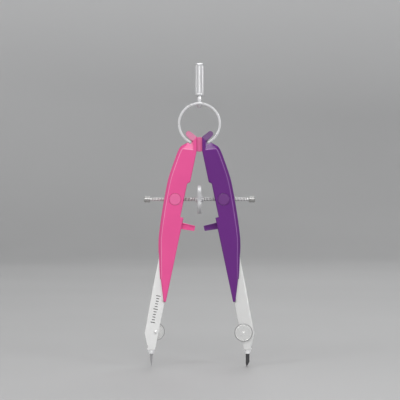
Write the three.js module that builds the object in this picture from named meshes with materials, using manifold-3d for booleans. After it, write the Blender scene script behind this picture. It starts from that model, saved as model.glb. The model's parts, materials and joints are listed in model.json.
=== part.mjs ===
// Bow drawing compass with a ring spring, a centre wheel on a left/right hand spindle,
// quick-release levers, a needle leg and a lead leg. Millimetres, +Z up, front towards -Y.
// The two points stand on z = 0, with the origin midway between them.
import * as THREE from 'three';
import { mergeVertices } from 'three/addons/utils/BufferGeometryUtils.js';
import Module from 'manifold-3d';

const wasm = await Module();
wasm.setup();

// ---- driving dimensions -------------------------------------------------------------
const GAP = 0.3;                                  // running gap between separate pieces
const OPEN_ANGLE = THREE.MathUtils.degToRad(11.85); // each leg's tilt from the middle plane
const FULCRUM_Z = 120;                            // height of the legs' turning axis
const TIP_X = 26;                                 // needle and lead axis from the middle

const LEG_HALF_DEPTH = 4;                         // moulded leg, half of its thickness
const PLATE = 1.2;                                // thickness of its front and back faces
const CAVITY_HALF_DEPTH = LEG_HALF_DEPTH - PLATE;
const SEAM = 0.15;                                // half of the gap between the two shells
const INNER_EDGE = 0.7;                           // inner edge's distance from the leg axis
const LOWER_EDGE = 0.3;                           // the same, below the wheel's recess
const SIDE_WALL = 1.3;
const RECESS_TOP = 20.8;                          // recess that clears the wheel
const RECESS_BOTTOM = 40.5;
const RECESS_DEPTH = 1.4;
const SLEEVE_END = 86.8;                          // tip of the moulded leg on its inner edge

const DISC_R = 3.9;                               // hinge disc between the two heads
const DISC_HALF_DEPTH = 2.2;

const RING_R = 11;                                // spring ring, middle of its band
const RING_THICKNESS = 1.25;
const RING_Z = FULCRUM_Z + RING_R;
const RING_END_ANGLE = THREE.MathUtils.degToRad(25);
const RING_HALF_WIDTH = 3;

const GRIP_R = 2.6;
const GRIP_BOTTOM = 146.3;
const GRIP_TOP = 163.7;
const NECK_R = 1.3;

const TRUNNION_AT = { u: 31.7, v: 6.7 };          // u down the leg, v outwards from its axis
const TRUNNION_R = 3.05;
const TRUNNION_HALF_LENGTH = 4.25;
const SPINDLE_R = 0.95;
const SPINDLE_BORE_R = SPINDLE_R + 0.35;
const SPINDLE_HALF_LENGTH = 30;
const END_CAP_LENGTH = 3.4;
const END_CAP_R = 1.7;
const WHEEL_R = 7.7;
const WHEEL_HALF_WIDTH = 1.05;
const HUB_R = 1.6;
const HUB_HALF_LENGTH = 1.9;

const LEVER_PIN_AT = { u: 46, v: 8.6 };
const LEVER_PIN_R = 0.8;
const LEVER_NEAR = 0.35;                          // lever's depth range in its half of the leg
const LEVER_FAR = 2.55;
const TAB_TIP_V = -6.85;
const LEVER_SPRING_AT = { u: 41, v: 3.85 };
const HALF_NUT_STROKE_END = 38.2;                 // how far down the leg its slot reaches

const BAR_HALF_DEPTH = 2.5;                       // metal lower leg
const BAR_BOTTOM_Z = 9.3;
const CLAMP_AT = { u: 104, v: 2.4 };
const CLAMP_SHAFT_R = 0.85;
const THUMB_R = 4.9;
const THUMB_THICKNESS = 1.5;
const POINT_R = 1;                                // needle shank and lead, both 2 mm across
const POINT_BORE_R = POINT_R + GAP;
const POINT_TOP_Z = 23.7;
const POINT_BORE_TOP_Z = 26.3;                    // leaves room to push a point up
const COLLAR_TOP_Z = BAR_BOTTOM_Z - GAP;
const COLLAR_BOTTOM_Z = 7.2;

const SIDES = 32;                                 // facets round a full circle

// ---- materials ----------------------------------------------------------------------
const finish = (color, roughness, metalness) =>
  new THREE.MeshStandardMaterial({ color, roughness, metalness });
const PINK = finish(0xdd5895, 0.35, 0);
const PURPLE = finish(0x672a7a, 0.35, 0);
const SATIN = finish(0xd6d6d8, 0.4, 1);
const BRIGHT = finish(0xe6e6e8, 0.2, 1);
const STEEL = finish(0x9a9a9c, 0.35, 1);
const GRAPHITE = finish(0x55565a, 0.6, 0);

// ---- solids -------------------------------------------------------------------------
function toSolid(geometry) {
  const bare = geometry.clone();
  bare.deleteAttribute('normal');
  bare.deleteAttribute('uv');
  const welded = mergeVertices(bare, 1e-5);
  return new wasm.Manifold(new wasm.Mesh({
    numProp: 3,
    vertProperties: new Float32Array(welded.attributes.position.array),
    triVerts: new Uint32Array(welded.index.array),
  }));
}

function toGeometry(solid) {
  const { vertProperties, triVerts } = solid.getMesh();
  const geometry = new THREE.BufferGeometry();
  geometry.setAttribute('position', new THREE.BufferAttribute(vertProperties, 3));
  geometry.setIndex(new THREE.BufferAttribute(triVerts, 1));
  geometry.computeVertexNormals();
  return geometry;
}

const cut = (body, ...tools) =>
  toGeometry(tools.reduce((solid, tool) => solid.subtract(toSolid(tool)), toSolid(body)));
const join = (body, ...others) =>
  toGeometry(others.reduce((solid, other) => solid.add(toSolid(other)), toSolid(body)));

const cylinderZ = (r, z0, z1, sides = SIDES) =>
  new THREE.CylinderGeometry(r, r, z1 - z0, sides).rotateX(Math.PI / 2)
    .translate(0, 0, (z0 + z1) / 2);
const cylinderY = (r, y0, y1, sides = SIDES) =>
  new THREE.CylinderGeometry(r, r, y1 - y0, sides).translate(0, (y0 + y1) / 2, 0);
const cylinderX = (r, x0, x1, sides = SIDES) =>
  new THREE.CylinderGeometry(r, r, x1 - x0, sides).rotateZ(-Math.PI / 2)
    .translate((x0 + x1) / 2, 0, 0);
const block = (x0, x1, y0, y1, z0, z1) =>
  new THREE.BoxGeometry(x1 - x0, y1 - y0, z1 - z0)
    .translate((x0 + x1) / 2, (y0 + y1) / 2, (z0 + z1) / 2);

// A turned piece: [radius, height] pairs from the bottom of the axis to its top.
const turned = (profile, sides = SIDES) =>
  new THREE.LatheGeometry(profile.map(([r, z]) => new THREE.Vector2(r, z)), sides)
    .rotateX(Math.PI / 2);

// A flat piece in the XZ plane, from depth y0 to y1.
const plate = (shape, y0, y1) =>
  new THREE.ExtrudeGeometry(shape, { depth: y1 - y0, bevelEnabled: false, curveSegments: 8 })
    .rotateX(Math.PI / 2).translate(0, y1, 0);

function mesh(name, geometry, material) {
  const piece = new THREE.Mesh(geometry, material);
  piece.name = name;
  return piece;
}

// ---- one leg ------------------------------------------------------------------------
// A leg is drawn on its own axis: u runs down from the fulcrum and v outwards. side is -1
// for the left leg and +1 for the right one, so v becomes side * v and u becomes -u.
const onLeg = (side, { u, v }) => new THREE.Vector2(side * v, -u);

function legShape(side, points) {
  return new THREE.Shape(points.map(([u, v]) => onLeg(side, { u, v })));
}

const atLegPoint = (geometry, side, { u, v }) => geometry.translate(side * v, 0, -u);

// Takes geometry that stands in the object's frame into the leg's own frame.
const intoLeg = (geometry, side) =>
  geometry.translate(0, 0, -FULCRUM_Z).rotateY(side * OPEN_ANGLE);

function smooth(points, steps) {
  const curve = new THREE.SplineCurve(points.map(([u, v]) => new THREE.Vector2(u, v)));
  return curve.getPoints(steps).map((p) => [p.x, p.y]);
}

function hookEnd(steps) {
  const centre = [-4.3, 6.9];
  const radius = 1.5;
  const axis = Math.atan2(3.7, -2.4);
  const arc = [];
  for (let i = 0; i <= steps; i += 1) {
    const angle = axis + Math.PI / 2 - (Math.PI * i) / steps;
    arc.push([centre[0] + radius * Math.cos(angle), centre[1] + radius * Math.sin(angle)]);
  }
  return arc;
}

function legOutline(side) {
  const recess = INNER_EDGE + RECESS_DEPTH;
  return legShape(side, [
    [SLEEVE_END, LOWER_EDGE],
    [RECESS_BOTTOM, LOWER_EDGE],
    [RECESS_BOTTOM, recess],
    [RECESS_TOP + RECESS_DEPTH, recess],
    [RECESS_TOP, INNER_EDGE],
    [4, INNER_EDGE],
    [-3.6, 2.2],
    ...hookEnd(8),
    [-0.8, 4.27],
    [0.95, 4.5],
    [0.3, 6.4],
    [2.8, 9.5],
    ...smooth([[5.2, 10.4], [11, 11.4], [21.2, 12.6], [31, 12.6], [41, 12.2], [50.7, 11.5],
      [57.1, 10.6], [65.4, 8.6], [75.1, 5.9]], 18),
    [75.5, 5.4],
    [80.8, 3.6],
    [SLEEVE_END, 1.5],
  ]);
}

function legCavity(side) {
  const wall = INNER_EDGE + SIDE_WALL;
  const lowerWall = LOWER_EDGE + SIDE_WALL;
  const recessWall = wall + RECESS_DEPTH;
  return legShape(side, [
    [8, wall],
    [RECESS_TOP - 1, wall],
    [RECESS_TOP + 0.4, recessWall],
    [RECESS_BOTTOM + SIDE_WALL, recessWall],
    [RECESS_BOTTOM + SIDE_WALL, lowerWall],
    [95, lowerWall],
    [95, 14],
    [62, 14],
    [62, 7.9],
    ...smooth([[54.9, 9.5], [38.7, 11.1], [22.2, 11.7], [11, 10]], 8),
    [8, 8.6],
  ]);
}

// side walls open where the spindle passes and where a release tab goes through
function legOpenings(side) {
  const inner = legShape(side, [
    [27.5, 1], [27.5, 4.5], [HALF_NUT_STROKE_END, 4.5], [HALF_NUT_STROKE_END, 1],
  ]);
  const outer = legShape(side, [[29, 10], [29, 14], [37.2, 14], [37.2, 10]]);
  const tab = legShape(side, [[42.2, -1], [42.2, 4], [48.6, 4], [48.6, -1]]);
  return [
    plate(inner, -1.75, 1.75),
    plate(outer, -1.4, 1.4),
    plate(tab, -CAVITY_HALF_DEPTH, CAVITY_HALF_DEPTH),
  ];
}

const SHELL_SCREWS = [{ u: 13, v: 6.6 }, { u: 55.5, v: 5.6 }];
const BAR_PIN_AT = { u: 67, v: 5.3 };

function legShell(side, front) {
  const face = front ? -1 : 1;
  const [y0, y1] = front ? [-LEG_HALF_DEPTH, -SEAM] : [SEAM, LEG_HALF_DEPTH];
  const body = plate(legOutline(side), y0, y1);
  const hollow = plate(legCavity(side), -CAVITY_HALF_DEPTH, CAVITY_HALF_DEPTH);
  const socket = cylinderY(DISC_R + GAP, -DISC_HALF_DEPTH - GAP, DISC_HALF_DEPTH + GAP);
  const trunnionHole = atLegPoint(cylinderY(TRUNNION_R + GAP, -5, 5), side, TRUNNION_AT);
  const pocketDepth = CAVITY_HALF_DEPTH + 0.6;
  const pockets = [[LEVER_PIN_AT, LEVER_PIN_R], [BAR_PIN_AT, 1]].map(([at, r]) =>
    atLegPoint(cylinderY(r + GAP, -pocketDepth, pocketDepth, 16), side, at));
  const shell = cut(body, hollow, socket, trunnionHole, ...legOpenings(side), ...pockets);
  const near = face * SEAM;
  const far = face * (CAVITY_HALF_DEPTH + 0.2);
  const bosses = SHELL_SCREWS.map((at) =>
    atLegPoint(cylinderY(2.4, Math.min(near, far), Math.max(near, far), 20), side, at));
  const holes = SHELL_SCREWS.map((at) => atLegPoint(front
    ? cylinderY(1, -3, 0, 16)
    : join(cylinderY(1, 0, 5, 16), cylinderY(1.9, LEG_HALF_DEPTH - 1, 5, 20)), side, at));
  return cut(join(shell, ...bosses), ...holes);
}

// pan-head screw that goes in from the back shell into the front shell's boss
function shellScrew() {
  const head = cylinderY(1.6, LEG_HALF_DEPTH - 0.7, LEG_HALF_DEPTH - 0.1, 20);
  const shank = cylinderY(0.7, -2.6, LEG_HALF_DEPTH - 0.5, 16);
  const slot = block(-0.3, 0.3, LEG_HALF_DEPTH - 0.4, 5, -2, 2);
  return cut(join(head, shank), slot);
}

function legBar(side) {
  const outline = legShape(side, [
    [60.5, 1.9], [60.5, 7.3], [62.7, 7.4], [62.7, 8.9], [80, 8.9], [90, 8.6],
    [105.6, 8.15], [111.8, 5.4], [114.1, 4.3], [113.4, 0.6], [87.1, 0.9], [87.1, 1.9],
  ]);
  const slit = legShape(side, [[97, 0], [97, 6.1], [116, 2.2], [116, 0]]);
  const bore = intoLeg(cylinderZ(POINT_BORE_R, 0, POINT_BORE_TOP_Z, 20)
    .translate(side * TIP_X, 0, 0), side);
  return cut(
    plate(outline, -BAR_HALF_DEPTH, BAR_HALF_DEPTH),
    plate(slit, -GAP, GAP),
    bore,
    atLegPoint(cylinderY(CLAMP_SHAFT_R + GAP, -5, 5, 20), side, CLAMP_AT),
    atLegPoint(cylinderY(1 + GAP, -5, 5, 20), side, BAR_PIN_AT),
  );
}

// the tab sticks out of the leg's inner edge, the nose holds the half nut against the spindle
function releaseLever(side) {
  const near = side < 0 ? -LEVER_FAR : LEVER_NEAR;
  const far = side < 0 ? -LEVER_NEAR : LEVER_FAR;
  const outline = legShape(side, [
    [43.4, TAB_TIP_V], [43.1, 3.2], [42.8, 6.3], [39.4, 5.9], [38.2, 5.2], [36.8, 5.2],
    [38.2, 7], [43, 9.2], [44.4, 10], [46, 10.25], [47.6, 9.7], [48, 8.2], [46.9, 3],
    [46.4, TAB_TIP_V],
  ]);
  const pinHole = cylinderY(LEVER_PIN_R + GAP, -5, 5, 20);
  return cut(plate(outline, near, far), atLegPoint(pinHole, side, LEVER_PIN_AT));
}

class Helix extends THREE.Curve {
  constructor(radius, pitch, turns) {
    super();
    Object.assign(this, { radius, pitch, turns });
  }

  getPoint(t, target = new THREE.Vector3()) {
    const angle = 2 * Math.PI * this.turns * t;
    return target.set(
      this.radius * Math.cos(angle),
      this.pitch * this.turns * t,
      this.radius * Math.sin(angle),
    );
  }
}

// small compression spring between the lever's arm and the leg's inner wall
function leverSpring(side) {
  const wire = new THREE.Shape().absarc(0, 0, 0.15, 0, 2 * Math.PI);
  const coil = new THREE.ExtrudeGeometry(wire, {
    steps: 32, extrudePath: new Helix(0.75, 0.45, 2.5), bevelEnabled: false, curveSegments: 3,
  });
  const y = side * (LEVER_NEAR + LEVER_FAR) / 2;
  return atLegPoint(coil.rotateZ(-side * Math.PI / 2), side, LEVER_SPRING_AT)
    .translate(0, y, 0);
}

function clampScrew(side) {
  const face = side < 0 ? 1 : -1;
  const disc0 = BAR_HALF_DEPTH + GAP;
  const profile = [
    [0, -BAR_HALF_DEPTH], [CLAMP_SHAFT_R, -BAR_HALF_DEPTH], [CLAMP_SHAFT_R, disc0],
    [THUMB_R, disc0], [THUMB_R, disc0 + THUMB_THICKNESS - 0.3],
    [THUMB_R - 0.3, disc0 + THUMB_THICKNESS], [0, disc0 + THUMB_THICKNESS],
  ];
  return atLegPoint(turned(profile, 40).rotateX(face < 0 ? Math.PI / 2 : -Math.PI / 2),
    side, CLAMP_AT);
}

function leg(name, side, plastic) {
  const group = new THREE.Group();
  group.position.z = FULCRUM_Z;
  group.rotation.y = -side * OPEN_ANGLE;
  const pin = (r, at) => atLegPoint(cylinderY(r, -3.1, 3.1, 16), side, at);
  group.add(
    mesh(`${name}_leg_front_shell`, legShell(side, true), plastic),
    mesh(`${name}_leg_back_shell`, legShell(side, false), plastic),
    mesh(`${name}_leg_bar`, legBar(side), SATIN),
    mesh(`${name}_bar_pin`, pin(1, BAR_PIN_AT), STEEL),
    mesh(`${name}_release_lever`, releaseLever(side), plastic),
    mesh(`${name}_lever_pin`, pin(LEVER_PIN_R, LEVER_PIN_AT), STEEL),
    mesh(`${name}_lever_spring`, leverSpring(side), STEEL),
    mesh(`${name}_clamp_screw`, clampScrew(side), SATIN),
  );
  ['upper', 'lower'].forEach((place, i) => group.add(mesh(
    `${name}_${place}_shell_screw`,
    atLegPoint(shellScrew(), side, SHELL_SCREWS[i]),
    STEEL,
  )));
  return group;
}

// ---- spindle, wheel and trunnions ---------------------------------------------------
// where the trunnion's axis stands with the legs open as drawn
const trunnionReach = Math.hypot(TRUNNION_AT.u, TRUNNION_AT.v);
const trunnionTilt = OPEN_ANGLE + Math.atan2(TRUNNION_AT.v, TRUNNION_AT.u);
const TRUNNION_X = trunnionReach * Math.sin(trunnionTilt);
const SPINDLE_Z = FULCRUM_Z - trunnionReach * Math.cos(trunnionTilt);

function trunnion() {
  return cut(
    cylinderY(TRUNNION_R, -TRUNNION_HALF_LENGTH, TRUNNION_HALF_LENGTH),
    cylinderX(SPINDLE_BORE_R, -5, 5, 20),
    block(-1.7, 1.7, -1.7, 1.7, -5, -0.2),
  );
}

// rides in the trunnion under the spindle; its groove grips the thread
function halfNut() {
  return cut(block(-1.4, 1.4, -1.4, 1.4, -4.2, -0.55), cylinderX(SPINDLE_R + GAP, -3, 3, 20));
}

function trunnionParts(name, side, plastic) {
  const group = new THREE.Group();
  group.position.set(side * TRUNNION_X, 0, SPINDLE_Z);
  group.add(
    mesh(`${name}_trunnion`, trunnion(), plastic),
    mesh(`${name}_half_nut`, halfNut(), STEEL),
  );
  return group;
}

function adjustingWheel() {
  const bore = SPINDLE_R + GAP;
  const web = 0.75;
  const profile = [
    [bore, -HUB_HALF_LENGTH], [HUB_R, -HUB_HALF_LENGTH], [HUB_R + 0.5, -web],
    [WHEEL_R - 1.4, -web], [WHEEL_R - 1.1, -WHEEL_HALF_WIDTH], [WHEEL_R - 0.2, -WHEEL_HALF_WIDTH],
    [WHEEL_R, -WHEEL_HALF_WIDTH + 0.3],
  ];
  const mirrored = profile.map(([r, z]) => [r, -z]).reverse();
  return turned([...profile, ...mirrored, profile[0]], 36).rotateY(Math.PI / 2);
}

function endCap(side) {
  const inner = SPINDLE_HALF_LENGTH - END_CAP_LENGTH;
  const bore = SPINDLE_R - 0.25 + GAP;
  const profile = [
    [bore, inner], [END_CAP_R - 0.2, inner], [END_CAP_R, inner + 0.2],
    [END_CAP_R, SPINDLE_HALF_LENGTH - 0.5], [END_CAP_R - 0.5, SPINDLE_HALF_LENGTH],
    [0, SPINDLE_HALF_LENGTH], [0, SPINDLE_HALF_LENGTH - 0.8],
    [bore, SPINDLE_HALF_LENGTH - 0.8], [bore, inner],
  ];
  return turned(profile, 24).rotateY(side * Math.PI / 2);
}

function threadedSpindle() {
  const shoulder = SPINDLE_HALF_LENGTH - END_CAP_LENGTH - GAP;
  const end = SPINDLE_HALF_LENGTH - 1.2;
  const journal = SPINDLE_R - 0.25;
  return turned([
    [0, -end], [journal, -end], [journal, -shoulder], [SPINDLE_R, -shoulder],
    [SPINDLE_R, shoulder], [journal, shoulder], [journal, end], [0, end],
  ], 20).rotateY(Math.PI / 2);
}

function spindleParts() {
  const group = new THREE.Group();
  group.position.z = SPINDLE_Z;
  group.add(
    mesh('threaded_spindle', threadedSpindle(), SATIN),
    mesh('adjusting_wheel', adjustingWheel(), BRIGHT),
    mesh('left_end_cap', endCap(-1), SATIN),
    mesh('right_end_cap', endCap(1), SATIN),
  );
  return group;
}

// ---- points -------------------------------------------------------------------------
function needle() {
  return turned([
    [0, 0], [0.08, 0.05], [0.58, 4.6], [0.76, 6.6], [POINT_R, 6.9], [POINT_R, POINT_TOP_Z - 0.3],
    [POINT_R - 0.3, POINT_TOP_Z], [0, POINT_TOP_Z],
  ], 20);
}

// The outer side is ground to a slant, which leaves the point on the inner side.
function lead() {
  const bevel = new THREE.Shape([
    new THREE.Vector2(-0.75, -1), new THREE.Vector2(-0.55, 0), new THREE.Vector2(1.2, 3.2),
    new THREE.Vector2(3, 3.2), new THREE.Vector2(3, -1),
  ]);
  const inside = new THREE.Shape([
    new THREE.Vector2(-3, -1), new THREE.Vector2(-0.65, -1), new THREE.Vector2(-0.65, 0),
    new THREE.Vector2(-1.1, 2), new THREE.Vector2(-3, 2),
  ]);
  return cut(cylinderZ(POINT_R, 0, POINT_TOP_Z, 24), plate(bevel, -2, 2), plate(inside, -2, 2));
}

// tapered ferrule round a point, under the bar
function collar() {
  const inner = POINT_R + GAP;
  return turned([
    [inner, COLLAR_BOTTOM_Z], [inner + 0.15, COLLAR_BOTTOM_Z], [1.8, COLLAR_TOP_Z - 0.5],
    [1.8, COLLAR_TOP_Z], [inner, COLLAR_TOP_Z], [inner, COLLAR_BOTTOM_Z],
  ], 24);
}

function points() {
  const left = new THREE.Group();
  left.position.x = -TIP_X;
  left.add(mesh('needle', needle(), STEEL), mesh('needle_collar', collar(), BRIGHT));
  const right = new THREE.Group();
  right.position.x = TIP_X;
  right.add(mesh('lead', lead(), GRAPHITE), mesh('lead_collar', collar(), BRIGHT));
  return [left, right];
}

// ---- handle, ring spring and hinge disc ---------------------------------------------
function handleGrip() {
  const bore = NECK_R - 0.2 + GAP;
  return turned([
    [bore, GRIP_BOTTOM], [GRIP_R - 0.3, GRIP_BOTTOM], [GRIP_R, GRIP_BOTTOM + 0.3],
    [GRIP_R, GRIP_TOP - 0.4], [GRIP_R - 0.4, GRIP_TOP], [0, GRIP_TOP], [0, GRIP_TOP - 5],
    [bore, GRIP_TOP - 5], [bore, GRIP_BOTTOM],
  ], 32);
}

// headed stud: the domed head sits inside the ring and the shank goes up into the grip
function handleStud() {
  const ringTop = RING_Z + RING_R;
  const above = ringTop + RING_THICKNESS / 2 + GAP;
  const below = ringTop - RING_THICKNESS / 2 - GAP;
  const shank = NECK_R - 0.2;
  return turned([
    [0, below - 1.6], [0.8, below - 1.4], [1.35, below - 0.7], [1.5, below],
    [shank - 0.1, below], [shank - 0.1, above], [NECK_R, above],
    [NECK_R, GRIP_BOTTOM - GAP], [shank, GRIP_BOTTOM - GAP],
    [shank, GRIP_TOP - 5.4], [0, GRIP_TOP - 5.4],
  ], 24);
}

function bowSpring() {
  const start = -Math.PI / 2 + RING_END_ANGLE;
  const end = 1.5 * Math.PI - RING_END_ANGLE;
  const outer = RING_R + RING_THICKNESS / 2;
  const inner = RING_R - RING_THICKNESS / 2;
  const band = new THREE.Shape();
  band.absarc(0, 0, outer, start, end, false);
  band.absarc(0, 0, inner, end, start, true);
  const ring = new THREE.ExtrudeGeometry(band, {
    depth: 2 * RING_HALF_WIDTH, bevelEnabled: false, curveSegments: 30,
  }).rotateX(Math.PI / 2).translate(0, RING_HALF_WIDTH, RING_Z);
  return cut(ring, cylinderZ(NECK_R - 0.3 + GAP, RING_Z, RING_Z + 20, 20));
}

function handleParts() {
  const disc = cylinderY(DISC_R, -DISC_HALF_DEPTH, DISC_HALF_DEPTH, 40);
  return [
    mesh('handle_grip', handleGrip(), SATIN),
    mesh('handle_stud', handleStud(), SATIN),
    mesh('bow_spring', bowSpring(), BRIGHT),
    mesh('hinge_disc', disc.translate(0, 0, FULCRUM_Z), PINK),
  ];
}

// ---- assembly -----------------------------------------------------------------------
const group = new THREE.Group();
group.add(
  ...handleParts(),
  leg('left', -1, PINK),
  leg('right', 1, PURPLE),
  trunnionParts('left', -1, PINK),
  trunnionParts('right', 1, PURPLE),
  spindleParts(),
  ...points(),
);

export default group;
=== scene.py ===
# Looks for the bow drawing compass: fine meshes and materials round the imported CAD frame.
# Shapes are drawn in millimetres and turned into metres when a piece is made.
import json
import math

import bmesh
import bpy
from mathutils import Matrix, Vector


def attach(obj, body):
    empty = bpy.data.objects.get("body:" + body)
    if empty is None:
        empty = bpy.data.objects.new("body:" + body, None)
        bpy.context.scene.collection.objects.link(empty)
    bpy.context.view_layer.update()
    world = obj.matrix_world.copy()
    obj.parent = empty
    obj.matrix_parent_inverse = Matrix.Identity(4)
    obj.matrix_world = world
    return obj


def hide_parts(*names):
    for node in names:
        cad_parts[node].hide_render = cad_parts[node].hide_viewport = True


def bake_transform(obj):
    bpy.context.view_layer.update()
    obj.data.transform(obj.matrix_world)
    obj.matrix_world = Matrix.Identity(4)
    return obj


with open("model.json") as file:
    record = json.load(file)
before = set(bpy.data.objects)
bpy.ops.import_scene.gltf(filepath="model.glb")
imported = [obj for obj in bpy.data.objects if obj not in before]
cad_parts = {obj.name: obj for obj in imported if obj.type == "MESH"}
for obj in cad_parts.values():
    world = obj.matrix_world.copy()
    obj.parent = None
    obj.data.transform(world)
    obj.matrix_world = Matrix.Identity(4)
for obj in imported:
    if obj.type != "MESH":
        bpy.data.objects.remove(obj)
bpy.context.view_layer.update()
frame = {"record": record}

MM = 0.001
JOINTS = {j["name"]: j for j in frame["record"]["behaviour"]["joints"]}

# ---- sizes shared with the CAD model ------------------------------------------------
# Places on a leg are (u, v): u runs down the leg from the fulcrum, v outwards.
OPEN_ANGLE = math.radians(11.85)
FULCRUM_Z = JOINTS["left_leg_swing"]["pos_m"][2] / MM
TRUNNION_X = JOINTS["right_trunnion_turn"]["pos_m"][0] / MM
SPINDLE_Z = JOINTS["right_trunnion_turn"]["pos_m"][2] / MM
TIP_X = 26
INNER_EDGE = 0.7
LOWER_EDGE = 0.3
SLEEVE_END = 86.8
LEG_HALF_DEPTH = 4
CAVITY_HALF_DEPTH = 2.8
SEAM = 0.005
BAR_HALF_DEPTH = 2.5
TRUNNION_AT = (31.7, 6.7)
LEVER_PIN_AT = (46, 8.6)
CLAMP_AT = (104, 2.4)
BAR_PIN_AT = (67, 5.3)
LEVER_PIN_R = 0.8
BAR_PIN_R = 1.0
PIN_CLEARANCE = 0.3
SHELL_SCREWS = {"upper": (13, 6.6), "lower": (55.5, 5.6)}
HINGE_DISC_R = 3.9
HINGE_DISC_HALF = 2.2
HINGE_GAP = 0.3
TRUNNION_R = 3.12
BORE_R = 1.3
RING_R = 11
RING_Z = FULCRUM_Z + RING_R
RING_END = math.radians(25)
SIDES = {"left": -1, "right": 1}

# Faces of more than BROAD_FACE mm2 meet in a hard line where they turn by BROAD_SHARP degrees.
BROAD_FACE = 3
BROAD_SHARP = 8

# Places in a piece's list of materials.
SECOND = 1
THIRD = 2


# ---- mesh helpers -------------------------------------------------------------------
def leg_matrix(side):
    """From a leg's own axes (v outwards, y depth, u down) to the object's frame."""
    turn = Matrix.Rotation(-side * OPEN_ANGLE, 4, "Y")
    return Matrix.Translation((0, 0, FULCRUM_Z)) @ turn


def leg_point(side, u, v, y=0.0):
    """A place on a leg, in the leg's own axes."""
    return Vector((side * v, y, -u))


def from_bmesh(name, bm, matrix=None, sharp=32, smooth=True):
    """A new object from a bmesh in millimetres, with edges sharper than an angle kept crisp."""
    if matrix is not None:
        bm.transform(matrix)
    bm.transform(Matrix.Scale(MM, 4))
    bmesh.ops.recalc_face_normals(bm, faces=bm.faces)
    mesh = bpy.data.meshes.new(name)
    bm.to_mesh(mesh)
    bm.free()
    obj = bpy.data.objects.new(name, mesh)
    bpy.context.scene.collection.objects.link(obj)
    if smooth:
        crisp(obj, sharp)
    return obj


def crisp(obj, sharp):
    """Smooth shading, with a hard line at sharp edges and wherever two broad faces meet."""
    bm = bmesh.new()
    bm.from_mesh(obj.data)
    for face in bm.faces:
        face.smooth = True
    for edge in bm.edges:
        angle = math.degrees(edge.calc_face_angle(math.pi))
        broad = all(face.calc_area() > BROAD_FACE * MM * MM for face in edge.link_faces)
        edge.smooth = angle < (BROAD_SHARP if broad else sharp)
    bm.to_mesh(obj.data)
    bm.free()


def weigh_normals(obj):
    """Lets the large faces set the shading, so that flat faces look flat beside their bevels."""
    modifier = obj.modifiers.new("normals", "WEIGHTED_NORMAL")
    modifier.mode = "FACE_AREA"
    modifier.weight = 100
    modifier.keep_sharp = True
    apply_modifiers(obj)


def grid_surface(bm, rows, wrap_rows=False, caps=False):
    """Joins rows of points, each row a closed loop, into a skin. caps closes its two ends."""
    made = [[bm.verts.new(p) for p in row] for row in rows]
    pairs = list(zip(made, made[1:]))
    if wrap_rows:
        pairs.append((made[-1], made[0]))
    for low, high in pairs:
        count = len(low)
        for i in range(count):
            j = (i + 1) % count
            bm.faces.new((low[i], low[j], high[j], high[i]))
    if caps:
        bm.faces.new(made[0])
        bm.faces.new(made[-1])
    return made


def second_tone(bm, shaded):
    """Gives the second material to the faces for whose centre shaded(centre) is true."""
    for face in bm.faces:
        if shaded(face.calc_center_median()):
            face.material_index = SECOND


def turned(profile, sides=64, knurl=None):
    """A turned solid about Z. knurl(angle, index) adds to the radius of profile point index."""
    bm = bmesh.new()
    rows = []
    ends = []
    for index, (r, z) in enumerate(profile):
        if r == 0:
            ends.append((len(rows), z))
            continue
        row = []
        for i in range(sides):
            angle = 2 * math.pi * i / sides
            radius = r + (knurl(angle, index) if knurl else 0)
            row.append((radius * math.cos(angle), radius * math.sin(angle), z))
        rows.append(row)
    made = grid_surface(bm, rows, wrap_rows=not ends)
    for at, z in ends:
        ring = made[0] if at == 0 else made[-1]
        centre = bm.verts.new((0, 0, z))
        for i in range(sides):
            bm.faces.new((ring[i], ring[(i + 1) % sides], centre))
    return bm


def knurling(rings, teeth, depth):
    """For turned(): cuts teeth into the profile points whose numbers are in rings."""
    def knurl(angle, index):
        return depth * math.cos(angle * teeth) - depth if index in rings else 0
    return knurl


def rounded(profile, radius, steps=3):
    """Rounds the corners of an open profile of (r, z) points."""
    out = [profile[0]]
    for before, here, after in zip(profile, profile[1:], profile[2:]):
        a, b, c = Vector(before), Vector(here), Vector(after)
        reach = min(radius, (a - b).length * 0.45, (c - b).length * 0.45)
        start = b + (a - b).normalized() * reach
        end = b + (c - b).normalized() * reach
        for i in range(steps + 1):
            t = i / steps
            p = start * (1 - t) ** 2 + b * 2 * t * (1 - t) + end * t ** 2
            out.append((p.x, p.y))
    out.append(profile[-1])
    return out


def spline(points, steps):
    """Catmull-Rom curve through points, steps pieces between neighbours."""
    ends = [points[0], *points, points[-1]]
    out = []
    for p0, p1, p2, p3 in zip(ends, ends[1:], ends[2:], ends[3:]):
        for i in range(steps):
            t = i / steps
            out.append(tuple(
                0.5 * (2 * b + (c - a) * t + (2 * a - 5 * b + 4 * c - d) * t * t
                       + (3 * b - a - 3 * c + d) * t ** 3)
                for a, b, c, d in zip(p0, p1, p2, p3)))
    out.append(points[-1])
    return out


def inset(outline, widths, amount):
    """Moves a closed outline inwards, each point by the mean width of its two edges. At a sharp
    corner least_cosine keeps the point from running far in."""
    least_cosine = 0.6
    count = len(outline)
    area = sum(outline[i][0] * outline[(i + 1) % count][1]
               - outline[(i + 1) % count][0] * outline[i][1] for i in range(count))
    turn = 1 if area > 0 else -1
    normals = []
    for i in range(count):
        edge = Vector(outline[(i + 1) % count]) - Vector(outline[i])
        edge.normalize()
        normals.append(Vector((-edge.y, edge.x)) * turn)
    out = []
    for i in range(count):
        middle = (normals[i - 1] + normals[i]).normalized()
        width = (widths[i - 1] + widths[i]) / 2
        reach = amount * width / max(least_cosine, middle.dot(normals[i]))
        out.append(tuple(Vector(outline[i]) + middle * reach))
    return out


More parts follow.
